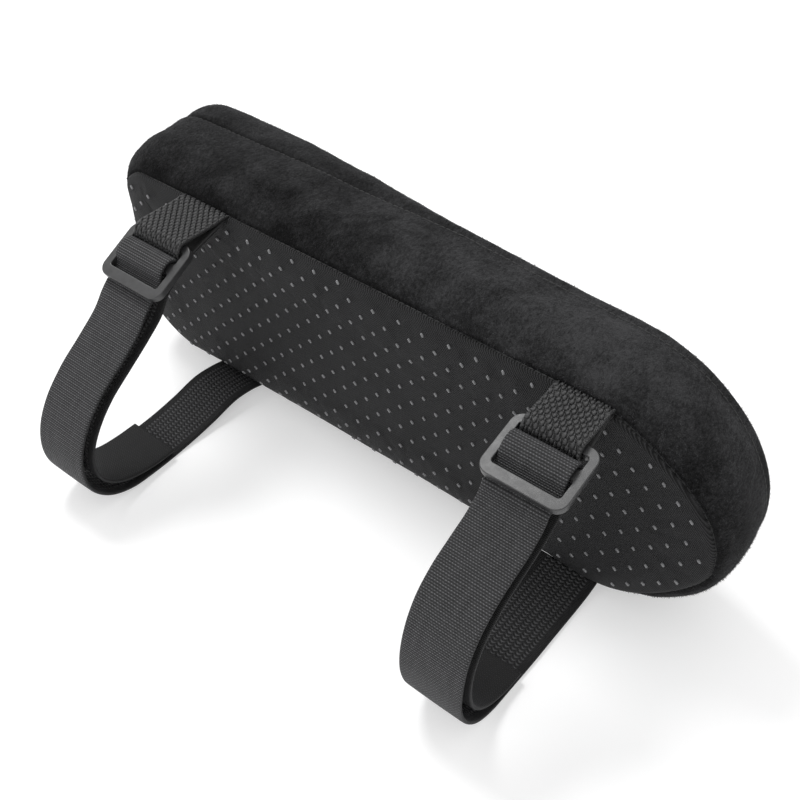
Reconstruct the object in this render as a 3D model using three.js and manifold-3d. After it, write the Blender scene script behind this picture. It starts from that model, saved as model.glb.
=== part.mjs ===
// Chair armrest pad with two buckled elastic straps, lying on its long side.
// Millimetres. +X runs to the rounded end, +Y out of the arm-rest face, -Y out of the anti-slip
// underside, +Z up. The floor is z = 0. It is drawn with the underside's flat face on y = 0, and
// the whole is then moved so that the origin is the middle of its box, on the floor.
import * as THREE from "three";
import { mergeVertices } from "three/addons/utils/BufferGeometryUtils.js";
import Module from "manifold-3d";

const wasm = await Module();
wasm.setup();

// ---- driving dimensions -------------------------------------------------------------------
const PAD_LEFT = -141;            // squared end at the underside seam's outer line
const PAD_RIGHT = 141;            // tip of the rounded end
const PAD_WIDTH = 104;            // across the pad, floor to top of side band
const NOSE_LENGTH = 54;           // half-ellipse that rounds the +X end
const END_LEAN = 6.5;             // squared end stands out past the underside's straight part
const CREASE_Y = 40;              // seam between side band and top panel
const FABRIC = 1.6;               // cover thickness with its pile
const FOAM_GAP = 0.6;             // foam to cover
const SEAM_CORD = 0.45;           // radius of a sewn seam's thread chain
// crown of the top panel along the pad: [x, y]
const CROWN = [
  [-148, 57.5], [-138, 61], [-122, 62.7], [-95, 62.2], [-70, 59.7], [-45, 56.2], [-20, 51.6],
  [5, 47], [30, 44.6], [60, 43], [90, 40.8], [120, 37.6], [143, 35],
];
const WEB_WIDTH = 25;             // strap and tab webbing
const STRAP_THICK = 1.5;
const TAB_FOLD_OUT = 4.4;         // outside radius of the tab's fold
const TAB_FOLD_IN = 2.7;          // room inside the fold for the buckle's bar
const TAB_ROOT_HALF = 1.5;        // half of the doubled webbing at the seam
const BUCKLE_WIDTH = 32.4;
const BUCKLE_LENGTH = 25;
const BUCKLE_THICK = 3;
const BUCKLE_CORNER = 4.6;
const WINDOW_WIDTH = 25.9;
const BUCKLE_SHIFT = 0.4;         // strap lies to the left in the buckle's window
const SLOT_UPPER = [-9.0, -3.5];  // along the buckle, from its middle
const SLOT_LOWER = [0.5, 8.0];
const FOLD_BAR = -10.75;          // centre of the bar the tab is folded round
// one entry per strap: x of the webbing's left edge, fold-bar position, buckle slope, the tab's
// left edge and width, and the strap's path from the buckle's lower bar round the loop to the lower seam, then the tail
const STRAPS = [
  {
    name: "left", x: -104.3, bar: [-21.0, 93.2], slope: 26, tab: [-104.1, 25],
    loop: [
      [-44.5, 77.2], [-50, 71.3], [-60, 63.6], [-71, 56], [-80, 47.3], [-86.3, 37], [-88.6, 26],
      [-86.5, 15.5], [-80, 7.2], [-70, 2.4], [-58, 1.15], [-40, 1.3], [-24, 3.4], [-10, 6.2],
      [0, 5.2], [7, 3.3],
    ],
    tail: [
      [-33, 79.5], [-38, 72.5], [-46, 66.3], [-57, 58.8], [-68, 51], [-76.5, 42], [-81.8, 32.5],
      [-83, 24], [-80.5, 16.2], [-74.5, 10], [-66, 6.3], [-56, 4.6], [-46, 4.2],
    ],
  },
  {
    name: "right", x: 70.7, bar: [-14.5, 91.2], slope: 15, tab: [71.4, 22.4],
    loop: [
      [-38.8, 78.4], [-45.5, 73.4], [-54, 69.6], [-62.5, 65.4], [-70, 58.8], [-75.8, 49.5],
      [-79, 38], [-79.2, 26], [-76, 15], [-69.3, 6.4], [-60, 2], [-50, 1.1], [-30, 0.95],
      [-8, 1.05], [0.6, 1.8], [6, 3.1],
    ],
    tail: [
      [-25.5, 80], [-31.5, 74.3], [-40, 68.6], [-50, 64], [-59, 59.6], [-66.3, 53], [-71.3, 44.6],
      [-74, 35], [-73.8, 25], [-70.3, 15.8], [-63.5, 8.6], [-54.5, 4.9], [-44, 3.9],
    ],
  },
];
const ZIP_HALF = 90;              // half of the zip's opening along X
const ZIP_Y = 22.5;               // centre of the zip in the floor side of the band
const ZIP_SIDE = 7.2;             // half of the opening in the band
const ZIP_CHAIN_Z = [4.0, 5.4];
const ZIP_TOOTH = 3.6;            // pitch of the teeth
const SLIDER_HOME = 82;           // slider closed, at the +X end
const NOSE_STEPS = 20;            // facets round the nose
const SIDE_STEPS = 15;            // and along each long side

// ---- shape helpers ------------------------------------------------------------------------
const rad = THREE.MathUtils.degToRad;

function table(points, x) {
  if (x <= points[0][0]) return points[0][1];
  for (let i = 1; i < points.length; i += 1) {
    const [a, b] = [points[i - 1], points[i]];
    if (x <= b[0]) return a[1] + ((b[1] - a[1]) * (x - a[0])) / (b[0] - a[0]);
  }
  return points[points.length - 1][1];
}

const crown = (x) => table(CROWN, x);
const crease = (x) => Math.min(CREASE_Y, crown(x) - 7);

// Plan outline of the pad, set in from its widest line, as [x, z, share facing the floor]. pull
// draws the outline up from the floor round the lower half of the nose, press draws it down round
// the upper half, and tip moves the nose out along the pad.
function outline(insetUp, insetDown, lean, cornerUp, cornerDown, pull, press, tip) {
  const side = (insetUp + insetDown) / 2;
  const low = insetDown;
  const high = PAD_WIDTH - insetUp;
  const left = PAD_LEFT - lean + side;
  const half = (high - low) / 2;
  const mid = (high + low) / 2;
  const nose = Math.max(NOSE_LENGTH - side, 3);
  const turn = PAD_RIGHT + tip - side - nose;
  const top = Math.max(Math.min(cornerUp - side, half * 0.95), 1.5);
  const bottom = Math.max(Math.min(cornerDown - side, half * 0.95), 1.5);
  const points = [];
  const steps = { nose: NOSE_STEPS, side: SIDE_STEPS, corner: 5, end: 4 };
  for (let i = 0; i < steps.nose; i += 1) {
    const a = Math.PI / 2 - (Math.PI * i) / steps.nose;
    const down = Math.max(-Math.sin(a), 0);
    const over = Math.max(Math.sin(a), 0);
    const shift = 3 * pull * down * Math.cos(a) ** 2 - 2 * press * over ** 2 * Math.cos(a);
    points.push([turn + nose * Math.cos(a), mid + half * Math.sin(a) + shift, down ** 4]);
  }
  for (let i = 0; i < steps.side; i += 1) {
    points.push([turn + ((left + bottom - turn) * i) / steps.side, low, 1]);
  }
  for (let i = 0; i < steps.corner; i += 1) {
    const a = -Math.PI / 2 - ((Math.PI / 2) * i) / steps.corner;
    const x = left + bottom + bottom * Math.cos(a);
    points.push([x, low + bottom + bottom * Math.sin(a), (-Math.sin(a)) ** 1.5]);
  }
  for (let i = 0; i < steps.end; i += 1) {
    points.push([left, low + bottom + ((high - top - low - bottom) * i) / steps.end, 0]);
  }
  for (let i = 0; i < steps.corner; i += 1) {
    const a = Math.PI - ((Math.PI / 2) * i) / steps.corner;
    points.push([left + top + top * Math.cos(a), high - top + top * Math.sin(a), 0]);
  }
  for (let i = 0; i < steps.side; i += 1) {
    points.push([left + top + ((turn - left - top) * i) / steps.side, high, 0]);
  }
  return points;
}

// A ring of the cover's outer surface: insets and depth differ between upper and floor side.
function ring({ up, down, yUp, yDown, lean = END_LEAN, corner = 18, lower = 32, pull = 0, press = 0, tip = 0, rise }) {
  return outline(up, down, lean, corner, lower, pull, press, tip).map(([x, z, share]) => {
    const flat = yUp + (yDown - yUp) * share;
    const y = rise ? rise(x) : (flat * crease(x)) / CREASE_Y;
    return new THREE.Vector3(x, y, z);
  });
}

const undersideRings = [
  ring({ up: 47, down: 47, yUp: 0, yDown: 0, lean: 5 }),
  ring({ up: 37, down: 36, yUp: 0, yDown: 0, lean: 5 }),
  ring({ up: 28.5, down: 26.5, yUp: 0, yDown: 0, lean: 5, tip: 1 }),
  ring({ up: 19, down: 20, yUp: 0, yDown: 0.2, lean: 5.2, pull: 3, press: 2.5, tip: 2 }),
  ring({ up: 13, down: 13, yUp: 0.1, yDown: 1.3, lean: 5.4, pull: 4.5, press: 4, tip: 2 }),
  ring({ up: 10, down: 8.4, yUp: 0.4, yDown: 3.3, lean: 5.6, pull: 5.8, press: 5, tip: 2 }),
  ring({ up: 8.4, down: 5.2, yUp: 1.1, yDown: 6.0, lean: 5.8, pull: 6.4, press: 5.4, tip: 2 }),
];
const lowerSeam = ring({ up: 7.6, down: 3.8, yUp: 2.0, yDown: 8.0, lean: 6, pull: 6.5, press: 5.5, tip: 2 });
const bandRings = [
  ring({ up: 6.4, down: 2.4, yUp: 2.9, yDown: 9.0, lean: 6.2, pull: 6, press: 5, tip: 1.5 }),
  ring({ up: 2.7, down: 0.7, yUp: 7.0, yDown: 11.4, pull: 4, press: 2, tip: 0.5 }),
  ring({ up: 0, down: 0, yUp: 15, yDown: 17, pull: 2 }),
  ring({ up: 0, down: 0, yUp: 27, yDown: 28 }),
  ring({ up: 0.8, down: 0.2, yUp: 35.8, yDown: 35.8, corner: 17 }),
  ring({ up: 1.3, down: 0.8, yUp: 38.6, yDown: 38.6, corner: 16 }),
];
const upperSeam = ring({ up: 1.8, down: 1.6, yUp: 0, yDown: 0, corner: 16, rise: (x) => crease(x) });
function topRing(inset, share, lift = 0) {
  const rise = (x) => crease(x) + 1.4 + (crown(x) + lift - crease(x) - 1.4) * share;
  return ring({ up: inset, down: inset, yUp: 0, yDown: 0, corner: 16, rise });
}
const topRings = [
  topRing(1.4, 0),
  topRing(1.3, 0.2),
  topRing(1.7, 0.45),
  topRing(3.3, 0.7),
  topRing(6.8, 0.89),
  topRing(13, 0.985),
  topRing(24, 1, 0.8),
  topRing(36, 1, 1.3),
  topRing(47, 1, 1.5),
];

// Outward direction at every point of the whole cover, ring by ring.
function outward(rings) {
  const count = rings[0].length;
  return rings.map((points, k) =>
    points.map((p, i) => {
      const along = points[(i + 1) % count].clone().sub(points[(i + count - 1) % count]);
      const next = rings[Math.min(k + 1, rings.length - 1)][i];
      const prior = rings[Math.max(k - 1, 0)][i];
      const across = next.clone().sub(prior);
      return along.cross(across).normalize();
    })
  );
}

const allRings = [...undersideRings, lowerSeam, ...bandRings, upperSeam, ...topRings];
const allNormals = outward(allRings);
for (const i of allNormals[0].keys()) {
  allNormals[0][i].set(0, -1, 0);
  allNormals[1][i].set(0, -1, 0);
  allNormals[allNormals.length - 1][i].set(0, 1, 0);
}

function inset(from, to, depth) {
  return allRings.slice(from, to).map((points, k) =>
    points.map((p, i) => p.clone().addScaledVector(allNormals[from + k][i], -depth))
  );
}

// ---- mesh helpers -------------------------------------------------------------------------
class Faces {
  constructor() {
    this.points = [];
  }
  tri(a, b, c) {
    this.points.push(a, b, c);
  }
  quad(a, b, c, d) {
    this.tri(a, b, c);
    this.tri(a, c, d);
  }
  // walls between successive rings
  walls(rings, close = false) {
    const last = close ? rings.length : rings.length - 1;
    for (let k = 0; k < last; k += 1) {
      const a = rings[k];
      const b = rings[(k + 1) % rings.length];
      for (let i = 0; i < a.length; i += 1) {
        const j = (i + 1) % a.length;
        this.quad(a[i], b[i], b[j], a[j]);
      }
    }
  }
  // fills a ring that lies across Y, with the ring's own sense or against it, from a spine
  // half way between its two long sides
  lid(points, forward) {
    const count = points.length;
    const tip = NOSE_STEPS / 2;
    const other = (k) => (2 * tip - k + count) % count;
    const spine = (k) => {
      const i = Math.min(Math.max(k, 2 * tip - 3), 2 * tip + SIDE_STEPS - 1);
      return points[i].clone().add(points[other(i)]).multiplyScalar(0.5);
    };
    const face = (...corners) => {
      if (!forward) corners.reverse();
      this.quad(...corners);
    };
    for (let k = tip; k < tip + count / 2; k += 1) {
      face(points[k], points[k + 1], spine(k + 1), spine(k));
      face(points[other(k + 1)], points[other(k)], spine(k), spine(k + 1));
    }
  }
  geometry() {
    const g = new THREE.BufferGeometry().setFromPoints(this.points);
    return settle(g);
  }
}

// one closed shell: shared corners, no stored normals, facing out
function settle(geometry) {
  const g = geometry.clone();
  g.deleteAttribute("normal");
  g.deleteAttribute("uv");
  const merged = mergeVertices(g, 1e-4);
  let volume = 0;
  const p = merged.attributes.position;
  const index = merged.index.array;
  const [a, b, c] = [new THREE.Vector3(), new THREE.Vector3(), new THREE.Vector3()];
  const kept = [];
  for (let i = 0; i < index.length; i += 3) {
    const [u, v, w] = [index[i], index[i + 1], index[i + 2]];
    if (u === v || v === w || u === w) continue;
    kept.push(u, v, w);
    a.fromBufferAttribute(p, u);
    b.fromBufferAttribute(p, v);
    c.fromBufferAttribute(p, w);
    volume += a.dot(b.clone().cross(c)) / 6;
  }
  if (volume < 0) {
    for (let i = 0; i < kept.length; i += 3) {
      [kept[i + 1], kept[i + 2]] = [kept[i + 2], kept[i + 1]];
    }
  }
  merged.setIndex(kept);
  merged.computeVertexNormals();
  return merged;
}

function solid(geometry) {
  const g = settle(geometry);
  const mesh = new wasm.Mesh({
    numProp: 3,
    vertProperties: new Float32Array(g.attributes.position.array),
    triVerts: new Uint32Array(g.index.array),
  });
  mesh.merge();
  return new wasm.Manifold(mesh);
}

function fromSolid(body) {
  const mesh = body.getMesh();
  const g = new THREE.BufferGeometry();
  const points = new Float32Array((mesh.vertProperties.length / mesh.numProp) * 3);
  for (let i = 0; i < points.length / 3; i += 1) {
    for (let k = 0; k < 3; k += 1) points[3 * i + k] = mesh.vertProperties[mesh.numProp * i + k];
  }
  g.setAttribute("position", new THREE.BufferAttribute(points, 3));
  g.setIndex([...mesh.triVerts]);
  return settle(g);
}

// a profile drawn in Y and Z, drawn out along X from x0 by depth
function alongX(shape, x0, depth) {
  const g = new THREE.ExtrudeGeometry(shape, { depth, bevelEnabled: false, curveSegments: 10 });
  const m = new THREE.Matrix4().makeBasis(
    new THREE.Vector3(0, 1, 0), new THREE.Vector3(0, 0, 1), new THREE.Vector3(1, 0, 0)
  );
  g.applyMatrix4(m);
  g.translate(x0, 0, 0);
  return g;
}

const box = (x0, x1, y0, y1, z0, z1) =>
  new THREE.BoxGeometry(x1 - x0, y1 - y0, z1 - z0)
    .translate((x0 + x1) / 2, (y0 + y1) / 2, (z0 + z1) / 2);

// a band of even thickness along a path in Y and Z
function ribbon(path, thick, x0, width) {
  const rings = path.map((p, i) => {
    const before = path[Math.max(i - 1, 0)];
    const after = path[Math.min(i + 1, path.length - 1)];
    const t = after.clone().sub(before).normalize();
    const n = new THREE.Vector2(-t.y, t.x).multiplyScalar(thick / 2);
    const [a, b] = [p.clone().add(n), p.clone().sub(n)];
    return [
      new THREE.Vector3(x0, a.x, a.y),
      new THREE.Vector3(x0 + width, a.x, a.y),
      new THREE.Vector3(x0 + width, b.x, b.y),
      new THREE.Vector3(x0, b.x, b.y),
    ];
  });
  return loft(rings);
}

// a solid through rings of four corners, closed at both ends
function loft(rings) {
  const f = new Faces();
  f.walls(rings);
  const last = rings[rings.length - 1];
  f.quad(rings[0][0], rings[0][1], rings[0][2], rings[0][3]);
  f.quad(last[3], last[2], last[1], last[0]);
  return f.geometry();
}

function smooth(points, count) {
  const curve = new THREE.CatmullRomCurve3(
    points.map(([y, z]) => new THREE.Vector3(y, z, 0)), false, "centripetal"
  );
  return curve.getPoints(count).map((p) => new THREE.Vector2(p.x, p.y));
}

// a closed cord that follows a ring
function cord(points, radius) {
  const count = points.length;
  const sides = 5;
  const rings = points.map((p, i) => {
    const t = points[(i + 1) % count].clone().sub(points[(i + count - 1) % count]).normalize();
    const u = new THREE.Vector3(0, 1, 0).addScaledVector(t, -t.y).normalize();
    const v = t.clone().cross(u);
    return Array.from({ length: sides }, (_, k) => {
      const a = (2 * Math.PI * k) / sides;
      return p.clone()
        .addScaledVector(u, radius * Math.cos(a))
        .addScaledVector(v, radius * Math.sin(a));
    });
  });
  const f = new Faces();
  f.walls(rings, true);
  return f.geometry();
}

// ---- materials ----------------------------------------------------------------------------
const material = (color, roughness, metalness = 0) =>
  new THREE.MeshStandardMaterial({ color, roughness, metalness });
const plush = () => material(0x121214, 0.95);
const knit = () => material(0x1a1b1d, 0.85);
const webbing = () => material(0x161617, 0.8);
const plastic = () => material(0x2b2c2e, 0.45);
const foam = () => material(0xe8e2cf, 0.9);
const thread = () => material(0x0e0e0f, 0.8);
const zinc = () => material(0x2a2a2c, 0.4, 0.8);

const group = new THREE.Group();
group.name = "chair_armrest_pad";
const whole = new THREE.Group();
whole.name = "as_drawn";
group.add(whole);
function add(name, geometry, look, parent = whole) {
  const mesh = new THREE.Mesh(geometry, look);
  mesh.name = name;
  parent.add(mesh);
  return mesh;
}

// ---- pad ----------------------------------------------------------------------------------
const nUnder = undersideRings.length;
const nBand = bandRings.length;
const bandFrom = nUnder + 1;
const topFrom = bandFrom + nBand + 1;

function panel(from, to, lidFirst) {
  const outer = inset(from, to, 0);
  const inner = inset(from, to, FABRIC).reverse();
  const f = new Faces();
  if (lidFirst) {
    f.walls([...outer, ...inner]);
    f.lid(outer[0], true);
    f.lid(inner[inner.length - 1], false);
  } else {
    f.walls([...inner, ...outer]);
    f.lid(inner[0], true);
    f.lid(outer[outer.length - 1], false);
  }
  return f.geometry();
}
add("underside_panel", panel(0, nUnder, true), knit());
add("top_panel", panel(topFrom, allRings.length, false), plush());

const bandOuter = inset(bandFrom, bandFrom + nBand, 0);
const bandInner = inset(bandFrom, bandFrom + nBand, FABRIC);
const bandFaces = new Faces();
bandFaces.walls([...bandOuter, ...bandInner.reverse()], true);
const zipOpening = box(-ZIP_HALF, ZIP_HALF, ZIP_Y - ZIP_SIDE, ZIP_Y + ZIP_SIDE, -5, 8);
add("side_band", fromSolid(solid(bandFaces.geometry()).subtract(solid(zipOpening))), plush());

// the core is pressed in along the floor side, where the zip lies
const coreRings = inset(0, allRings.length, FABRIC + FOAM_GAP);
for (const [k, points] of coreRings.slice(bandFrom + 1, bandFrom + 5).entries()) {
  for (const p of points) {
    if (Math.abs(p.x) < ZIP_HALF + 8 && p.z < 12) p.z = k < 3 ? 6.9 : 4.6;
  }
}
const coreFaces = new Faces();
coreFaces.walls(coreRings);
coreFaces.lid(coreRings[0], true);
coreFaces.lid(coreRings[coreRings.length - 1], false);
add("foam_core", coreFaces.geometry(), foam());

add("underside_seam", cord(lowerSeam, SEAM_CORD), thread());
add("top_seam", cord(upperSeam, SEAM_CORD), thread());

// ---- zip in the floor side of the band ------------------------------------------------------
for (const [name, sign] of [["zip_tape_underside", -1], ["zip_tape_top", 1]]) {
  const profile = new THREE.Shape([
    new THREE.Vector2(ZIP_Y + sign * 2.7, 4.3),
    new THREE.Vector2(ZIP_Y + sign * 3.6, 4.3),
    new THREE.Vector2(ZIP_Y + sign * 6.8, 0.9),
    new THREE.Vector2(ZIP_Y + sign * 6.8, 1.8),
    new THREE.Vector2(ZIP_Y + sign * 4.0, 5.1),
    new THREE.Vector2(ZIP_Y + sign * 2.7, 5.1),
  ]);
  add(name, settle(alongX(profile, -ZIP_HALF + 0.4, 2 * ZIP_HALF - 0.8)), knit());
}
const chainHalf = ZIP_HALF - 3.2;
const teeth = Math.floor((2 * chainHalf) / ZIP_TOOTH);
const chain = [];
for (let i = 0; i < teeth; i += 1) {
  const x = -chainHalf + i * ZIP_TOOTH;
  for (const [step, half] of [[0, 1.6], [0.3, 2.3], [0.55 * ZIP_TOOTH, 2.3], [0.55 * ZIP_TOOTH + 0.3, 1.6]]) {
    chain.push([
      new THREE.Vector3(x + step, ZIP_Y - half, ZIP_CHAIN_Z[0]),
      new THREE.Vector3(x + step, ZIP_Y + half, ZIP_CHAIN_Z[0]),
      new THREE.Vector3(x + step, ZIP_Y + half, ZIP_CHAIN_Z[1]),
      new THREE.Vector3(x + step, ZIP_Y - half, ZIP_CHAIN_Z[1]),
    ]);
  }
}
add("zip_teeth", loft(chain), plastic());
for (const [name, x] of [["zip_stop_closed", chainHalf + 0.4], ["zip_stop_open", -chainHalf - 2]]) {
  add(name, settle(box(x, x + 1.6, ZIP_Y - 2.3, ZIP_Y + 2.3, 3.6, 5.6)), zinc());
}
const carrier = new THREE.Group();
carrier.name = "zip_carrier";
carrier.position.set(SLIDER_HOME, ZIP_Y, 0);
whole.add(carrier);
let slider = solid(box(-4.5, 4.5, -2.5, 2.5, 2.7, 3.6));
for (const s of [-1, 1]) {
  slider = slider.add(solid(box(-2.6, 2.6, Math.min(s * 1.5, s * 2.3), Math.max(s * 1.5, s * 2.3), 0.9, 3)));
}
const pin = new THREE.CylinderGeometry(0.48, 0.48, 3.6, 20).translate(0, 0, 1.75);
slider = slider.add(solid(pin));
add("zip_slider", fromSolid(slider), zinc(), carrier);
// the pull hangs from its pin and its tip lies on the floor
const blade = box(-14, 0, -1.2, 1.2, 1.3, 2.2).translate(0, 0, -1.75).rotateY(-Math.PI / 36).translate(0, 0, 1.75);
let pull = solid(blade);
const eye = new THREE.CylinderGeometry(0.85, 0.85, 2.4, 20).translate(0, 0, 1.75);
const hole = new THREE.CylinderGeometry(0.54, 0.54, 4, 20).translate(0, 0, 1.75);
pull = pull.add(solid(eye)).subtract(solid(hole));
add("zip_pull", fromSolid(pull), zinc(), carrier);

// ---- straps, tabs and buckles --------------------------------------------------------------
function roundedRect(w0, w1, l0, l1, r, Kind) {
  const s = new Kind();
  s.moveTo(w0 + r, l0);
  s.lineTo(w1 - r, l0);
  s.absarc(w1 - r, l0 + r, r, -Math.PI / 2, 0, false);
  s.lineTo(w1, l1 - r);
  s.absarc(w1 - r, l1 - r, r, 0, Math.PI / 2, false);
  s.lineTo(w0 + r, l1);
  s.absarc(w0 + r, l1 - r, r, Math.PI / 2, Math.PI, false);
  s.lineTo(w0, l0 + r);
  s.absarc(w0 + r, l0 + r, r, Math.PI, 1.5 * Math.PI, false);
  return s;
}

function hull(points) {
  const sorted = [...points].sort((a, b) => a.x - b.x || a.y - b.y);
  const turn = (o, a, b) => (a.x - o.x) * (b.y - o.y) - (a.y - o.y) * (b.x - o.x);
  const half = (list) => {
    const out = [];
    for (const p of list) {
      while (out.length > 1 && turn(out[out.length - 2], out[out.length - 1], p) <= 0) out.pop();
      out.push(p);
    }
    out.pop();
    return out;
  };
  return [...half(sorted), ...half(sorted.reverse())];
}

const circle = (centre, r, count) =>
  Array.from({ length: count }, (_, i) => {
    const a = (2 * Math.PI * i) / count;
    return new THREE.Vector2(centre.x + r * Math.cos(a), centre.y + r * Math.sin(a));
  });

for (const s of STRAPS) {
  const slope = rad(s.slope);
  const along = new THREE.Vector2(-Math.cos(slope), -Math.sin(slope));
  const out = new THREE.Vector2(-Math.sin(slope), Math.cos(slope));
  const bar = new THREE.Vector2(...s.bar);
  // a point l along the buckle from its middle and n out of its face
  const at = (l, n) =>
    bar.clone().addScaledVector(along, l - FOLD_BAR).addScaledVector(out, n);

  // tab: doubled webbing from the seam, folded round the buckle's upper bar
  const root = new THREE.Vector2(-0.4, 95.7);
  const skin = hull([
    ...circle(bar, TAB_FOLD_OUT, 26),
    new THREE.Vector2(root.x, root.y + TAB_ROOT_HALF),
    new THREE.Vector2(root.x, root.y - TAB_ROOT_HALF),
  ]);
  const tip = bar.clone().lerp(root, 0.72);
  const tabShape = new THREE.Shape(skin);
  tabShape.holes.push(new THREE.Path(hull([...circle(bar, TAB_FOLD_IN, 22), tip]).reverse()));
  add(`tab_${s.name}`, settle(alongX(tabShape, s.tab[0], s.tab[1])), webbing());

  // buckle: three bars in a rounded frame
  const half = BUCKLE_WIDTH / 2;
  const frame = roundedRect(-half, half, -12.5, 12.5, BUCKLE_CORNER, THREE.Shape);
  for (const [a, b] of [SLOT_UPPER, SLOT_LOWER]) {
    frame.holes.push(roundedRect(-WINDOW_WIDTH / 2, WINDOW_WIDTH / 2, a, b, 1.2, THREE.Path));
  }
  const plate = new THREE.ExtrudeGeometry(frame, {
    depth: BUCKLE_THICK - 0.8,
    bevelEnabled: true,
    bevelThickness: 0.4,
    bevelSize: 0.4,
    bevelOffset: -0.4,
    bevelSegments: 1,
    curveSegments: 4,
  });
  plate.translate(0, 0, -(BUCKLE_THICK - 0.8) / 2);
  const middle = at(0, 0);
  const basis = new THREE.Matrix4().makeBasis(
    new THREE.Vector3(1, 0, 0),
    new THREE.Vector3(0, along.x, along.y),
    new THREE.Vector3(0, out.x, out.y).negate()
  );
  plate.applyMatrix4(basis);
  plate.translate(s.x + WEB_WIDTH / 2 + BUCKLE_SHIFT, middle.x, middle.y);
  add(`buckle_${s.name}`, settle(plate), plastic());

  // strap: sewn end, loop, behind the lower bar, over the middle bar, through, and the tail
  const wrap = [
    [12.8, -3.1], [9.6, -2.75], [6.4, -2.1], [4.4, -0.4], [2.9, 1.8], [0.9, 3.1], [-1.6, 3.6],
    [-3.9, 3.0], [-5.2, 1.4], [-5.35, -0.7], [-4.9, -2.8], [-3.4, -4.6],
  ].map(([l, n]) => at(l, n));
  const path = [
    ...[...s.loop].reverse(),
    ...wrap.map((p) => [p.x, p.y]),
    ...s.tail,
  ];
  add(`strap_${s.name}`, ribbon(smooth(path, 130), STRAP_THICK, s.x, WEB_WIDTH), webbing());
}

const bounds = new THREE.Box3().setFromObject(group, true);
const middle = bounds.getCenter(new THREE.Vector3());
whole.position.set(-middle.x, -middle.y, -bounds.min.z);

export default group;
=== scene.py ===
# Chair armrest pad with two buckled elastic straps, lying on its long side on a pale floor.
# Shapes are drawn in millimetres, in the drawing's own zero, and placed in the row frame by place().
import math

import bpy
import numpy as np
from mathutils import Matrix, Vector, noise
from mathutils.bvhtree import BVHTree


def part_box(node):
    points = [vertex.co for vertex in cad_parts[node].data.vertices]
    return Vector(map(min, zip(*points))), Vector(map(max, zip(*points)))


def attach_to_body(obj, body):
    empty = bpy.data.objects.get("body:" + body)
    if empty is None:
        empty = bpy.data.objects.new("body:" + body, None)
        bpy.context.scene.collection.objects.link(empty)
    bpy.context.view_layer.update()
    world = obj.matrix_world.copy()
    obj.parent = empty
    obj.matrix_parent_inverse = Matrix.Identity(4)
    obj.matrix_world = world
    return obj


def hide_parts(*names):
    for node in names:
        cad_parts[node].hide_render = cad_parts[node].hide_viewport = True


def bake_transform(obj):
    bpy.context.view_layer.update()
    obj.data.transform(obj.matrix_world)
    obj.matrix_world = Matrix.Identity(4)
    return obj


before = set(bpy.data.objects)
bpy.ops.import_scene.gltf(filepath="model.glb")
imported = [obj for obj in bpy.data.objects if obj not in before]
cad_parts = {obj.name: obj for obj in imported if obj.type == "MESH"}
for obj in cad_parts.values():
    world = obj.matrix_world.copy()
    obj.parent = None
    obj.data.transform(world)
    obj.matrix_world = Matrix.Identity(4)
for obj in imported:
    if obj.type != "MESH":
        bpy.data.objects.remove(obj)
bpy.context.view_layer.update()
scene = bpy.context.scene

MM = 0.001
# strap_left starts 104.3 mm to the left of the drawing's zero, and the underside lies on y = 0
SHIFT = np.array([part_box("strap_left")[0][0] + 0.1043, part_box("underside_panel")[0][1], 0.0])


def place(points):
    return np.asarray(points, dtype=float) * MM + SHIFT


# ---- camera ----
AZIMUTH, ELEVATION, ROLL = (math.radians(a) for a in (40.1, 44.3, -1.5))
TARGET = Vector(place([5.8, 1.1, 48.9]))
DISTANCE = 0.423

away = Vector((
    math.sin(AZIMUTH) * math.cos(ELEVATION),
    -math.cos(AZIMUTH) * math.cos(ELEVATION),
    math.sin(ELEVATION),
))
level = Vector((math.cos(AZIMUTH), math.sin(AZIMUTH), 0))
rise = away.cross(level)
across = level * math.cos(ROLL) + rise * math.sin(ROLL)
above = -level * math.sin(ROLL) + rise * math.cos(ROLL)
camera_data = bpy.data.cameras.new("camera")
camera_data.lens = 50
camera_data.sensor_width = 36
camera_data.clip_start = 0.01
camera = bpy.data.objects.new("camera", camera_data)
scene.collection.objects.link(camera)
camera.matrix_world = (
    Matrix.Translation(TARGET + away * DISTANCE) @ Matrix((across, above, away)).transposed().to_4x4()
)
scene.camera = camera


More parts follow.
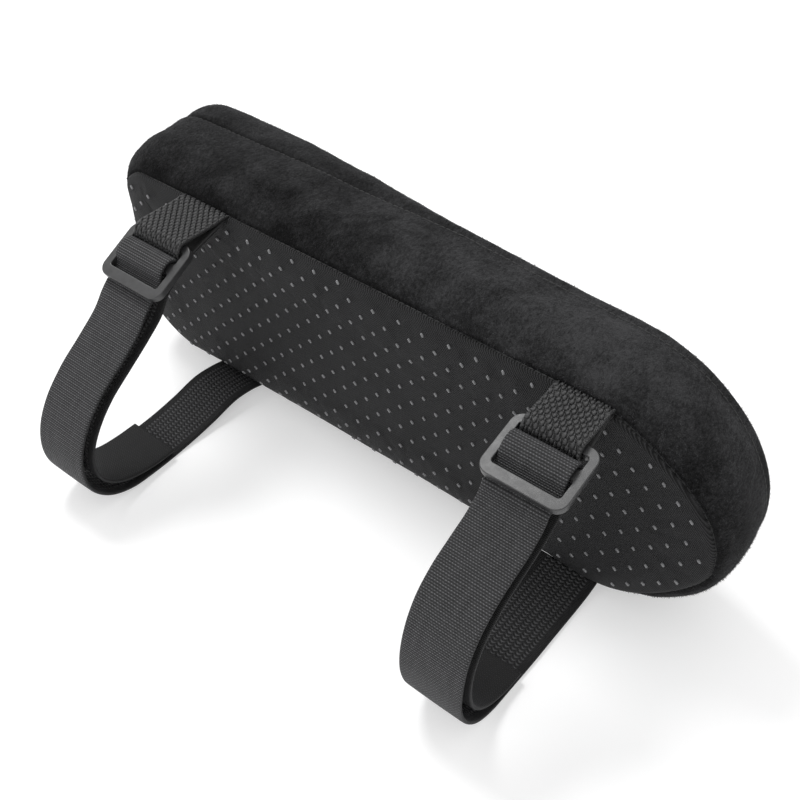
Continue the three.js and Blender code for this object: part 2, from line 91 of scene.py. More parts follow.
# ---- materials ----
class Look:
    """A procedural material: a Principled shader and short ways to wire nodes into it."""

    def __init__(self, name, roughness=0.8, **sockets):
        self.material = bpy.data.materials.new(name)
        self.material.use_nodes = True
        self.tree = self.material.node_tree
        self.shader = self.tree.nodes["Principled BSDF"]
        self.shader.inputs["Roughness"].default_value = roughness
        for key, value in sockets.items():
            self.shader.inputs[key.replace("_", " ")].default_value = value

    def node(self, kind, inputs=None, **settings):
        made = self.tree.nodes.new(kind)
        for key, value in settings.items():
            setattr(made, key, value)
        for key, value in (inputs or {}).items():
            self.wire(value, made.inputs[key])
        return made

    def wire(self, source, target):
        if isinstance(source, (int, float, tuple)):
            target.default_value = source
        else:
            self.tree.links.new(source, target)

    def math(self, operation, a, b=0.0, c=0.0):
        made = self.node("ShaderNodeMath", operation=operation)
        for source, target in zip((a, b, c), made.inputs):
            self.wire(source, target)
        return made.outputs[0]

    def times(self, a, b):
        return self.math("MULTIPLY", a, b)

    def fma(self, a, b, c):
        """a * b + c"""
        return self.math("MULTIPLY_ADD", a, b, c)

    def axes(self, uv=False):
        """x, y, z of the object's own place in mm, or mm across and along a strap."""
        if uv:
            source = self.node("ShaderNodeUVMap", uv_map="strip").outputs[0]
            scale = 100.0
        else:
            source = self.node("ShaderNodeTexCoord").outputs["Object"]
            scale = 1000.0
        scaled = self.node("ShaderNodeVectorMath", operation="SCALE")
        self.wire(source, scaled.inputs[0])
        self.wire(scale, scaled.inputs["Scale"])
        split = self.node("ShaderNodeSeparateXYZ", {"Vector": scaled.outputs[0]})
        return scaled.outputs[0], *split.outputs

    def stretch(self, vector, x=1.0, y=1.0, z=1.0, turn=(0, 0, 0)):
        return self.node("ShaderNodeMapping", {"Vector": vector, "Scale": (x, y, z), "Rotation": turn}).outputs[0]

    def noise(self, vector, scale, detail=2.0, rough=0.5):
        inputs = {"Vector": vector, "Scale": scale, "Detail": detail, "Roughness": rough}
        return self.node("ShaderNodeTexNoise", inputs).outputs["Fac"]

    def span(self, value, low, high, to_low=0.0, to_high=1.0, smooth=False):
        inputs = {"Value": value, "From Min": low, "From Max": high, "To Min": to_low, "To Max": to_high}
        kind = "SMOOTHSTEP" if smooth else "LINEAR"
        return self.node("ShaderNodeMapRange", inputs, interpolation_type=kind).outputs["Result"]

    def colours(self, factor, *stops):
        made = self.node("ShaderNodeValToRGB")
        ramp = made.color_ramp
        while len(ramp.elements) < len(stops):
            ramp.elements.new(0.5)
        for element, (at, colour) in zip(ramp.elements, stops):
            element.position = at
            element.color = (*colour, 1)
        self.wire(factor, made.inputs["Fac"])
        self.wire(made.outputs["Color"], self.shader.inputs["Base Color"])

    def bump(self, height, depth, strength=1.0, under=None):
        """Relief of depth mm; under is a coarser bump below this one."""
        made = self.node("ShaderNodeBump", {"Strength": strength, "Distance": depth * MM, "Height": height})
        if under is not None:
            self.wire(under, made.inputs["Normal"])
        self.wire(made.outputs[0], self.shader.inputs["Normal"])
        return made.outputs[0]

    def rough(self, value):
        self.wire(value, self.shader.inputs["Roughness"])

    def sine(self, value, pitch):
        """0 to 1, once every pitch mm."""
        turned = self.fma(value, 2 * math.pi / pitch, 0.0)
        return self.fma(self.math("SINE", turned), 0.5, 0.5)


def grey(v):
    return (v, v, v * 1.04)


def plush_look(name, low, high, sheen):
    look = Look(name, 0.95, Sheen_Weight=sheen, Sheen_Roughness=0.4, Specular_IOR_Level=0.12)
    look.shader.inputs["Sheen Tint"].default_value = (0.62, 0.62, 0.65, 1)
    at, x = look.axes()[:2]
    brushed = look.noise(look.stretch(at, 1.0, 1.0, 0.75, (0, 0.5, 0.3)), 0.07, 3, 0.55)
    naps = look.noise(look.stretch(at, 1.0, 0.6, 1.3, (0.4, 0.6, 0)), 0.75, 2, 0.55)
    fibres = look.noise(look.stretch(at, 1.0, 0.45, 1.2, (0.5, 0, 0.5)), 2.6, 2, 0.6)
    tone = look.fma(brushed, 0.55, look.times(naps, 0.45))
    tone = look.fma(fibres, 0.6, tone)
    # painted light: the upper side of the pad is painted paler and its squared end darker, standing in for how light
    # and shade fall there
    facing = look.node("ShaderNodeSeparateXYZ")
    look.wire(look.node("ShaderNodeNewGeometry").outputs["Normal"], facing.inputs[0])
    tone = look.math("ADD", tone, look.span(facing.outputs["Z"], 0.1, 0.95, -0.2, 0.12))
    tone = look.math("ADD", tone, look.span(x, -60, 70, -0.18, 0.0, True))
    middle = (low + high) / 3
    look.colours(look.span(tone, 0.56, 1.04), (0.0, grey(low)), (0.45, grey(middle)), (1.0, grey(high)))
    soft = look.bump(naps, 0.45, 0.7)
    look.bump(fibres, 0.35, 0.9, under=soft)
    return look.material


def knit_look():
    look = Look("ribbed_knit", 0.7, Sheen_Weight=0.04, Sheen_Roughness=0.5, Specular_IOR_Level=0.26)
    look.shader.inputs["Sheen Tint"].default_value = (0.7, 0.7, 0.75, 1)
    at, x, _, z = look.axes()
    slow = look.noise(at, 0.11, 2)
    wander = look.fma(look.noise(at, 0.2, 1), 0.25, look.math("ADD", x, z))
    ribs = look.sine(look.times(wander, 0.7071), 0.75)
    stitches = look.sine(look.times(look.math("SUBTRACT", x, z), 0.7071), 0.62)
    loops = look.times(look.math("POWER", ribs, 0.8), look.span(stitches, 0, 1, 0.78, 1.0))
    fuzz = look.noise(at, 4.2, 2)
    # the rib loops also set the colour: painted shade in the grooves between the loops, over random tone from slow and
    # fuzz
    shade = look.fma(fuzz, 0.2, look.fma(slow, 0.25, look.times(loops, 0.65)))
    look.colours(look.span(shade, 0.2, 0.98), (0.0, grey(0.0008)), (0.5, grey(0.006)), (1.0, grey(0.032)))
    look.bump(look.fma(fuzz, 0.12, loops), 0.45, 1.0)
    return look.material


def silicone_look():
    look = Look("silicone_dots", 0.26, Specular_IOR_Level=0.7, Coat_Weight=0.35)
    at = look.axes()[0]
    speck = look.noise(at, 1.4, 2)
    look.colours(speck, (0.3, grey(0.09)), (0.7, grey(0.17)))
    look.rough(look.span(speck, 0.3, 0.7, 0.14, 0.28))
    look.bump(look.noise(at, 3.5, 2), 0.05)
    return look.material


def elastic_look(name, low, high, pitch, relief, inner=False):
    look = Look(name, 0.62, Sheen_Weight=0.05, Sheen_Roughness=0.4, Specular_IOR_Level=0.3)
    look.shader.inputs["Sheen Tint"].default_value = (0.7, 0.7, 0.75, 1)
    at, u, v, w = look.axes(uv=True)
    warp = look.noise(look.stretch(at, 0.5, 0.12), 1.0, 2)
    if inner:
        # staggered pits in columns between smooth selvages
        column = look.math("DIVIDE", u, 2.5)
        odd = look.times(look.math("FLOORED_MODULO", look.math("FLOOR", column), 2.0), math.pi)
        side = look.math("ABSOLUTE", look.math("SUBTRACT", look.math("FRACT", column), 0.5))
        slant = look.fma(side, 1.1, v)
        pits = look.fma(look.math("SINE", look.fma(slant, 2 * math.pi / 1.55, odd)), 0.5, 0.5)
        cord = look.times(look.span(side, 0.5, 0.12, 0.35, 1.0, True), look.math("POWER", pits, 0.7))
        edge = look.math("ABSOLUTE", look.math("SUBTRACT", u, 12.5))
        plain = look.span(edge, 9.0, 9.8, 0.0, 1.0, True)
        fine = look.times(look.sine(v, 0.6), 0.35)
        height = look.math("ADD", look.times(cord, look.math("SUBTRACT", 1.0, plain)), look.times(fine, plain))
    else:
        # transverse ribs, one slightly prouder than the next, crossed by the warp yarns
        wavy = look.fma(warp, 0.35, v)
        ribs = look.sine(wavy, pitch)
        every = look.sine(wavy, 2 * pitch)
        odd = look.math("FLOORED_MODULO", look.math("FLOOR", look.math("DIVIDE", wavy, pitch)), 2.0)
        yarn = look.sine(look.fma(odd, 0.55, u), 1.1)
        height = look.times(ribs, look.span(every, 0, 1, 0.62, 1.0))
        height = look.times(height, look.span(yarn, 0, 1, 0.35, 1.0))
    fuzz = look.noise(at, 3.0, 2)
    # the relief also sets the colour: rib tops and cords painted paler as painted highlight, grooves and pits darker
    # as painted shade, over random tone from fuzz and warp
    shade = look.fma(fuzz, 0.22, look.fma(warp, 0.2, look.times(height, 0.75)))
    look.colours(look.span(shade, 0.12, 1.05), (0.0, grey(low)), (0.5, grey((low + high) / 3.2)), (1.0, grey(high)))
    look.rough(look.span(height, 0.0, 1.0, 0.8, 0.55))
    look.bump(look.fma(fuzz, 0.12, height), relief, 1.0)
    return look.material


def basket_look(name, low, high):
    look = Look(name, 0.42, Sheen_Weight=0.05, Sheen_Roughness=0.4, Specular_IOR_Level=0.6)
    at, x, y, z = look.axes()
    yarn = look.sine(look.fma(y, 0.7, x), 0.42)
    fuzz = look.noise(at, 2.2, 2)
    shade = look.fma(fuzz, 0.6, look.times(yarn, 0.4))
    look.colours(look.span(shade, 0.25, 0.8), (0.0, grey(low)), (0.5, grey((low + high) / 2.5)), (1.0, grey(high)))
    look.bump(shade, 0.16, 1.0)
    return look.material


def plastic_look():
    look = Look("satin_plastic", 0.38, Specular_IOR_Level=0.7)
    at = look.axes()[0]
    mottle = look.noise(at, 0.4, 2)
    grain = look.noise(at, 5.0, 2, 0.6)
    look.colours(look.fma(grain, 0.4, look.times(mottle, 0.6)), (0.3, grey(0.016)), (0.7, grey(0.027)))
    look.rough(look.span(mottle, 0.3, 0.7, 0.34, 0.44))
    look.bump(grain, 0.035, 0.8)
    return look.material


def thread_look():
    look = Look("thread", 0.7, Sheen_Weight=0.1)
    at = look.axes()[0]
    ply = look.noise(look.stretch(at, 1, 3, 3), 1.6, 2)
    look.colours(ply, (0.3, grey(0.004)), (0.7, grey(0.014)))
    look.bump(ply, 0.12)
    return look.material


def tape_look():
    look = Look("woven_tape", 0.8, Sheen_Weight=0.1)
    at, x, y, z = look.axes()
    weft = look.sine(x, 0.55)
    warp = look.sine(y, 0.5)
    weave = look.times(weft, look.span(warp, 0, 1, 0.6, 1.0))
    look.colours(weave, (0.0, grey(0.004)), (1.0, grey(0.018)))
    look.bump(weave, 0.15)
    return look.material


def nylon_look():
    look = Look("nylon", 0.38)
    at = look.axes()[0]
    streak = look.noise(at, 1.2, 2)
    look.colours(streak, (0.3, grey(0.010)), (0.7, grey(0.020)))
    look.rough(look.span(streak, 0.3, 0.7, 0.32, 0.46))
    look.bump(streak, 0.05)
    return look.material


def enamel_look():
    look = Look("black_enamel", 0.35, Coat_Weight=0.3)
    at = look.axes()[0]
    worn = look.noise(at, 0.9, 3)
    look.colours(worn, (0.3, grey(0.008)), (0.6, grey(0.014)), (0.8, grey(0.05)))
    look.rough(look.span(worn, 0.3, 0.8, 0.3, 0.5))
    look.bump(worn, 0.04)
    return look.material


def foam_look():
    look = Look("memory_foam", 0.95)
    at = look.axes()[0]
    cells = look.noise(at, 1.8, 3)
    look.colours(cells, (0.3, (0.72, 0.66, 0.5)), (0.7, (0.88, 0.84, 0.72)))
    look.bump(cells, 0.3)
    return look.material


def floor_look():
    look = Look("pale_floor", 0.85, Specular_IOR_Level=0.1)
    at = look.axes()[0]
    look.colours(look.noise(at, 0.004, 2), (0.3, (0.655, 0.655, 0.657)), (0.7, (0.665, 0.665, 0.667)))
    look.shader.inputs["Emission Color"].default_value = (1, 1, 1, 1)
    look.shader.inputs["Emission Strength"].default_value = 0.42
    look.bump(look.noise(at, 0.4, 2), 0.02)
    return look.material


PLUSH = plush_look("plush_pile", 0.001, 0.038, 0.1)
PLUSH_FIBRE = plush_look("plush_fibre", 0.003, 0.068, 0.15)
KNIT = knit_look()
SILICONE = silicone_look()
STRAP_OUTER = elastic_look("elastic_ribbed", 0.0008, 0.19, 0.9, 0.45)
STRAP_INNER = elastic_look("elastic_back", 0.001, 0.07, 0.9, 0.5, inner=True)
# the tail is the same webbing as the strap, painted much darker: painted shade where it lies inside the loop
STRAP_TAIL_SHADED = elastic_look("elastic_tail_painted_shade", 0.006, 0.03, 0.62, 0.14)
BASKET = basket_look("basket_yarn", 0.004, 0.042)
# the tab's ground webbing under the yarn beads is the same black yarn, painted near black as painted shade in the gaps
# between beads
BASKET_GROUND_SHADED = basket_look("basket_ground_painted_shade", 0.001, 0.006)
PLASTIC = plastic_look()
THREAD = thread_look()
TAPE = tape_look()
NYLON = nylon_look()
ENAMEL = enamel_look()
FOAM = foam_look()
FLOOR = floor_look()


# ---- mesh helpers ----
def piece(name, points, faces, looks, face_looks=None, uvs=None, smooth=True):
    """A mesh object from points in mm; uvs holds one (across, along) in mm for each corner."""
    mesh = bpy.data.meshes.new(name)
    mesh.from_pydata(place(points).tolist(), [], faces)
    for look in looks if isinstance(looks, (list, tuple)) else [looks]:
        mesh.materials.append(look)
    if face_looks is not None:
        mesh.polygons.foreach_set("material_index", np.asarray(face_looks, dtype=np.int32))
    if uvs is not None:
        layer = mesh.uv_layers.new(name="strip")
        layer.data.foreach_set("uv", (np.asarray(uvs, dtype=float) * 0.01).ravel())
    mesh.polygons.foreach_set("use_smooth", [smooth] * len(mesh.polygons))
    mesh.validate()
    mesh.update()
    made = bpy.data.objects.new(name, mesh)
    scene.collection.objects.link(made)
    return made


def attach(part, node, body="pad"):
    """Rides the part on its body, and lets it stand for a CAD node."""
    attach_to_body(part, body)
    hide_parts(node)


def unit(vectors):
    return vectors / np.linalg.norm(vectors, axis=1, keepdims=True)


def run_length(line):
    """The distance along a line at each of its points."""
    return np.concatenate([[0], np.cumsum(np.linalg.norm(np.diff(line, axis=0), axis=1))])


def wall_faces(start, rows, count):
    """Quads between closed rows of count points each, the first of them at index start."""
    i = np.arange(count)
    j = (i + 1) % count
    faces = []
    for k in range(rows - 1):
        a, b = start + k * count, start + (k + 1) * count
        faces += np.stack([a + i, a + j, b + j, b + i], 1).tolist()
    return faces


def hermite(values, knots, at):
    """Smooth curve through values (first axis) at knots, read at the stations in at."""
    knots = np.asarray(knots, dtype=float)
    at = np.asarray(at, dtype=float)
    slopes = np.empty_like(values)
    gaps = np.diff(knots)
    steps = np.diff(values, axis=0) / gaps.reshape(-1, *[1] * (values.ndim - 1))
    slopes[0], slopes[-1] = steps[0], steps[-1]
    weight = (gaps[:-1] / (gaps[:-1] + gaps[1:])).reshape(-1, *[1] * (values.ndim - 1))
    slopes[1:-1] = steps[:-1] * (1 - weight) + steps[1:] * weight
    k = np.clip(np.searchsorted(knots, at, side="right") - 1, 0, len(knots) - 2)
    shape = (-1, *[1] * (values.ndim - 1))
    h = gaps[k].reshape(shape)
    s = ((at - knots[k]) / gaps[k]).reshape(shape)
    return (
        (2 * s**3 - 3 * s**2 + 1) * values[k]
        + (s**3 - 2 * s**2 + s) * h * slopes[k]
        + (3 * s**2 - 2 * s**3) * values[k + 1]
        + (s**3 - s**2) * h * slopes[k + 1]
    )


# ---- the pad's cover ----
PAD_LEFT, PAD_RIGHT, PAD_WIDTH = -141.0, 141.0, 104.0
NOSE_LENGTH, END_LEAN, CREASE_Y = 54.0, 6.5, 40.0
COVER = 1.4
# points round the nose, along each side, round the lower corner, up the squared end, round the upper corner
NOSE_STEPS, SIDE_STEPS, LOW_STEPS, END_STEPS, HIGH_STEPS = 64, 74, 14, 16, 12
NOSE_TIP = NOSE_STEPS // 2
ZIP_HALF, ZIP_Y, ZIP_SIDE = 90.0, 22.5, 7.2
CROWN = np.array([
    [-148, 57.5], [-138, 61], [-122, 62.7], [-95, 62.2], [-70, 59.7], [-45, 56.2], [-20, 51.6],
    [5, 47], [30, 44.6], [60, 43], [90, 40.8], [120, 37.6], [143, 35],
])


def crown(x):
    return sum(np.interp(x + d, CROWN[:, 0], CROWN[:, 1]) for d in (-9, -4.5, 0, 4.5, 9)) / 5


def by_zip(points, beyond, past, high=8):
    """Whether points lie within the zip's place in the floor side, give or take a little."""
    return (
        (np.abs(points[..., 0]) < ZIP_HALF + beyond)
        & (np.abs(points[..., 1] - ZIP_Y) < ZIP_SIDE + past)
        & (points[..., 2] < high)
    )


def crease(x):
    return np.minimum(CREASE_Y, crown(x) - 7)


def outline(up, down, lean, corner, lower, pull, press, tip, fine):
    """Plan outline, set in from the widest line: rows of x, z and share facing the floor.
    pull draws it up from the floor round the lower half of the nose, press down from the top
    round its upper half, and tip moves the nose out along the pad."""
    side = (up + down) / 2
    low, high = down, PAD_WIDTH - up
    left = PAD_LEFT - lean + side
    half, mid = (high - low) / 2, (high + low) / 2
    nose = max(NOSE_LENGTH - side, 3)
    turn = PAD_RIGHT + tip - side - nose
    top = max(min(corner - side, half * 0.95), 1.5)
    bottom = max(min(lower - side, half * 0.95), 1.5)

    rows = []

    def steps(count):
        return np.arange(count * fine) / (count * fine)

    def add(*x_z_share):
        rows.append(np.stack(np.broadcast_arrays(*x_z_share), 1))

    a = math.pi / 2 - math.pi * steps(NOSE_STEPS)
    under, over = np.maximum(-np.sin(a), 0), np.maximum(np.sin(a), 0)
    shift = 3 * pull * under * np.cos(a) ** 2 - 2 * press * over**2 * np.cos(a)
    add(turn + nose * np.cos(a), mid + half * np.sin(a) + shift, under**4)
    s = steps(SIDE_STEPS)
    add(turn + (left + bottom - turn) * s, low, 1)
    a = -math.pi / 2 - math.pi / 2 * steps(LOW_STEPS)
    add(left + bottom + bottom * np.cos(a), low + bottom + bottom * np.sin(a), (-np.sin(a)) ** 1.5)
    add(left, low + bottom + (high - top - low - bottom) * steps(END_STEPS), 0)
    a = math.pi - math.pi / 2 * steps(HIGH_STEPS)
    add(left + top + top * np.cos(a), high - top + top * np.sin(a), 0)
    add(left + top + (turn - left - top) * s, high, 0)
    return np.concatenate(rows)


def ring(
    up, down, y_up, y_down, lean=END_LEAN, corner=18, lower=32, pull=0.0, press=0.0, tip=0.0, lift=None, fine=1,
):
    """One closed row of the cover. lift gives its height over the underside as a function of x."""
    x, z, share = outline(up, down, lean, corner, lower, pull, press, tip, fine).T
    y = (y_up + (y_down - y_up) * share) * crease(x) / CREASE_Y if lift is None else lift(x)
    return np.stack([x, y, z], 1)


def top_ring(inset, share, lift=0.0, fine=1):
    return ring(
        inset, inset, 0, 0, lean=8.6, corner=15,
        lift=lambda x: crease(x) + 1.4 + (crown(x) + lift - crease(x) - 1.4) * share, fine=fine,
    )


def sections(fine):
    """The cover's outer surface as rings: underside panel, side band, top panel."""
    def r(*args, **more):
        return ring(*args, fine=fine, **more)

    low_seam = r(7.6, 3.8, 2.0, 8.0, lean=5.4, pull=6.5, press=5.5, tip=2)
    high_seam = r(1.4, 1.2, 0, 0, lean=8.6, corner=15, lift=crease)
    underside = [
        r(47, 47, 0, 0, lean=5), r(37, 36, 0, 0, lean=5), r(28.5, 26.5, 0, 0, lean=5, tip=1),
        r(19, 20, 0, 0.2, lean=5.2, pull=3, press=2.5, tip=2), r(13, 13, 0.1, 1.3, lean=5.4, pull=4.5, press=4, tip=2),
        r(10, 8.4, 0.4, 3.3, lean=5.6, pull=5.8, press=5, tip=2),
        r(8.4, 5.2, 1.1, 6.0, lean=5.8, pull=6.4, press=5.4, tip=2),
        low_seam,
    ]
    band = [
        low_seam, r(6.4, 2.4, 2.9, 9.0, lean=5.5, pull=6, press=5, tip=1.5),
        r(2.7, 0.7, 7.0, 11.4, lean=5.8, pull=4, press=2, tip=0.5), r(0, 0, 15, 17, lean=6.3, pull=2),
        r(0, 0, 27, 28, lean=7.4),
        r(0.8, 0.2, 35.8, 35.8, lean=8.3, corner=16), r(1.3, 0.8, 38.6, 38.6, lean=8.6, corner=15), high_seam,
    ]
    top = [high_seam] + [
        top_ring(*args, fine=fine)
        for args in (
            (1.4, 0), (1.3, 0.2), (1.7, 0.45), (3.3, 0.7), (6.8, 0.89), (13, 0.985),
            (24, 1, 0.8), (36, 1, 1.3), (47, 1, 1.5),
        )
    ]
    return [np.array(rings) for rings in (underside, band, top)]


def knots_of(rings):
    """Each ring's mean distance along the cloth from the first."""
    gaps = np.linalg.norm(np.diff(rings, axis=0), axis=2).mean(1)
    return np.concatenate([[0], np.cumsum(gaps)])


def outward(rings):
    along = np.roll(rings, -1, axis=1) - np.roll(rings, 1, axis=1)
    over = np.gradient(rings, axis=0)
    normal = np.cross(along, over)
    return normal / np.maximum(np.linalg.norm(normal, axis=2, keepdims=True), 1e-9)


def lid_faces(start, count, tip, forward):
    """Closes a thin ring by joining its two long sides."""
    faces = []
    for k in range(tip, tip + count // 2):
        around = [k % count, (k + 1) % count, (2 * tip - k - 1) % count, (2 * tip - k) % count]
        corners = list(dict.fromkeys(around))
        faces.append([start + c for c in (corners[::-1] if forward else corners)])
    return faces


# Coarse cover for the cloth: held along the lower seam, the zip and the flat of the underside,
# and blown out a little everywhere else.
COARSE = 2.7
HELD_ROWS = 8
MOST_SWELL = 0.9
SIM_FRAMES = 20
CLOTH = dict(
    quality=6, mass=0.12, tension_stiffness=12, compression_stiffness=12, shear_stiffness=5,
    bending_stiffness=0.4, use_pressure=True, uniform_pressure_force=4, shrink_min=-0.012,
)
coarse_sections = sections(1)
coarse_knots = [knots_of(rings) for rings in coarse_sections]
coarse_stations = [np.linspace(0, k[-1], int(round(k[-1] / COARSE)) + 1) for k in coarse_knots]
coarse = [hermite(r, k, s) for r, k, s in zip(coarse_sections, coarse_knots, coarse_stations)]
count = coarse[0].shape[1]
stack = np.concatenate([coarse[0], coarse[1][1:], coarse[2][1:]])
seam_rows = [len(coarse[0]) - 1, len(coarse[0]) + len(coarse[1]) - 2]
swell = np.zeros_like(stack)


def closed_faces(rows):
    """The coarse cover's walls, closed at both of its ends."""
    faces = wall_faces(0, rows, count) + lid_faces(0, count, NOSE_TIP, True)
    return faces + lid_faces((rows - 1) * count, count, NOSE_TIP, False)


def blow_out(stack, seam_rows):
    """Runs the cover as cloth under pressure and returns how far each point moves, in mm."""
    rows = len(stack)
    faces = closed_faces(rows)
    form = piece("cover_form", stack.reshape(-1, 3), faces, PLUSH)
    hold = np.zeros(stack.shape[:2])
    hold[seam_rows[0]] = 1
    hold[by_zip(stack, 6, 3)] = 1
    hold[:HELD_ROWS] = 1
    pins = form.vertex_groups.new(name="pins")
    for index in np.flatnonzero(hold.ravel() > 0):
        pins.add([int(index)], 1.0, "REPLACE")
    cloth = form.modifiers.new("cloth", "CLOTH")
    cloth.settings.vertex_group_mass = "pins"
    cloth.settings.pin_stiffness = 1
    for key, value in CLOTH.items():
        setattr(cloth.settings, key, value)
    cloth.settings.effector_weights.gravity = 0
    cloth.collision_settings.use_collision = False
    cloth.point_cache.frame_start = 1
    cloth.point_cache.frame_end = SIM_FRAMES
    for number in range(1, SIM_FRAMES + 1):
        scene.frame_set(number)
    shaped = form.evaluated_get(bpy.context.evaluated_depsgraph_get()).data
    points = np.empty(len(shaped.vertices) * 3)
    shaped.vertices.foreach_get("co", points)
    moved = (points.reshape(-1, 3) - SHIFT) / MM - stack.reshape(-1, 3)
    bpy.data.objects.remove(form, do_unlink=True)
    scene.frame_set(1)
    return moved.reshape(stack.shape)


# only the movement out of the surface is kept, eased so that no panel leaves its CAD box
normal = outward(stack)
reach = np.maximum((blow_out(stack, seam_rows) * normal).sum(2, keepdims=True), 0)
swell = normal * np.tanh(reach / MOST_SWELL) * MOST_SWELL

swells = [
    swell[: seam_rows[0] + 1],
    swell[seam_rows[0]: seam_rows[1] + 1],
    swell[seam_rows[1]:],
]


def soft_noise(points, scale, seed):
    shift = Vector((seed, 0, 0))
    return np.array([noise.noise(Vector(p) / scale + shift) for p in points.reshape(-1, 3)]).reshape(points.shape[:2])


def ends(length, gap, first, last):
    """Stations along a section, closer together beside a seam."""
    near = [0, 0.35, 0.8, 1.4, 2.2]
    body = np.linspace(3.2 if first else 0, length - (3.2 if last else 0), int(length / gap))
    rows = [*(near if first else []), *body, *([length - n for n in reversed(near)] if last else [])]
    return np.array(rows), np.array([min(s if first else 99, length - s if last else 99) for s in rows])


FINE = 2
GAP = 1.35
OVER_FLOOR = 0.02
under_rings, band_rings, top_rings = sections(FINE)


def surfaced(rings, moved_rows, knots, stations):
    """A section's surface at the stations, with the cloth's movement added, and its normals."""
    moved = hermite(*moved_rows, stations)
    between = (moved + np.roll(moved, -1, axis=1)) / 2
    doubled = np.empty((len(stations), count * FINE, 3))
    doubled[:, 0::2], doubled[:, 1::2] = moved, between
    surface = hermite(rings, knots, stations)
    normal = outward(surface)
    return surface + doubled, normal


# the underside panel
under_knots = knots_of(under_rings)
stations, to_seam = ends(under_knots[-1], GAP, False, True)
swell_at = coarse_stations[0] * under_knots[-1] / coarse_stations[0][-1]
surface, normal = surfaced(under_rings, (swells[0], swell_at), under_knots, stations)
near = to_seam[:, None]
relief = 0.3 * soft_noise(surface, 16, 3) * np.clip((near - 1) / 8, 0, 1)
relief += 0.12 * soft_noise(surface, 5, 8) * np.exp(-near / 4)
under_cover = surface + normal * (relief - 0.8 * np.exp(-((near / 0.9) ** 1.3)))[..., None]
under_cover[..., 2] = np.maximum(under_cover[..., 2], OVER_FLOOR)

# side band and top panel, shaped as one so that they meet flush where the upper seam is not pinched
plush_rings = np.concatenate([band_rings, top_rings[1:]])
plush_knots = knots_of(plush_rings)
seam_at = plush_knots[len(band_rings) - 1]
low_rows, _ = ends(seam_at, GAP, True, True)
high_rows, _ = ends(plush_knots[-1] - seam_at, GAP, True, False)
stations = np.concatenate([low_rows, high_rows[1:] + seam_at])
seam_row = len(low_rows) - 1
band_scale = seam_at / coarse_stations[1][-1]
top_scale = (plush_knots[-1] - seam_at) / coarse_stations[2][-1]
swell_at = np.concatenate([coarse_stations[1] * band_scale, seam_at + coarse_stations[2][1:] * top_scale])
plush_swell = np.concatenate([swells[1], swells[2][1:]])
surface, normal = surfaced(plush_rings, (plush_swell, swell_at), plush_knots, stations)
x = surface[..., 0]
low, high = stations[:, None], np.abs(stations[:, None] - seam_at)
relief = 0.55 * soft_noise(surface, 26, 5) + 0.22 * soft_noise(surface, 9, 9)
pucker = soft_noise(surface * np.array([1, 0.25, 1]), 5, 12)
relief += 0.3 * pucker * np.exp(-low / 3.5)
# the upper seam is pinched at the squared end and fades out along the pad
pinch = np.clip(1 - (x + 148) / 175, 0, 1) ** 1.3
relief += 0.3 * pucker * pinch * np.exp(-high / 3)
groove = 0.7 * np.exp(-((low / 0.9) ** 1.3)) + 1.5 * pinch * np.exp(-((high / 1.0) ** 1.2))
surface = surface + normal * (relief - groove)[..., None]
surface[..., 2] = np.maximum(surface[..., 2], OVER_FLOOR)
band_cover, top_cover = surface[: seam_row + 1], surface[seam_row:]


def shell(name, surface, look, lid=None, cut=None):
    """A panel of the cover: its outer face, an inner face COVER mm in, and the rims between."""
    rows, around = surface.shape[:2]
    inside = surface - outward(surface) * COVER
    points = np.concatenate([surface.reshape(-1, 3), inside.reshape(-1, 3)])
    outer = wall_faces(0, rows, around)
    kept = [i for i in range(len(outer)) if cut is None or not cut[i]]
    faces = [outer[i] for i in kept] + [[v + rows * around for v in reversed(outer[i])] for i in kept]
    tip = NOSE_TIP * FINE
    if lid == "first":
        faces += lid_faces(0, around, tip, True) + lid_faces(rows * around, around, tip, False)
    if lid == "last":
        start = (rows - 1) * around
        faces += lid_faces(start, around, tip, False) + lid_faces(start + rows * around, around, tip, True)
    # rims: every edge that only one outer face uses
    single = {}
    for face in faces[: len(kept)]:
        for a, b in zip(face, face[1:] + face[:1]):
            if single.pop((b, a), None) is None:
                single[(a, b)] = True
    skip = set()
    if lid:
        base = 0 if lid == "first" else (rows - 1) * around
        skip = set(range(base, base + around))
    for a, b in single:
        if not (a in skip and b in skip):
            faces.append([b, a, a + rows * around, b + rows * around])
    return piece(name, points, faces, look)


cover_underside = shell("cover_underside", under_cover, KNIT, lid="first")
centres = (band_cover[:-1] + band_cover[1:]) / 2
centres = (centres + np.roll(centres, -1, axis=1)) / 2
cover_band = shell("cover_band", band_cover, PLUSH, cut=by_zip(centres, 0, -0.6).ravel())
cover_top = shell("cover_top", top_cover, PLUSH, lid="last")
for cover, node, slot, fill in (
    (cover_underside, "underside_panel", "anti_slip_knit", 0.8),
    (cover_band, "side_band", "plush", 0.8),
    (cover_top, "top_panel", "plush", 0.85),
):
    attach(cover, node)


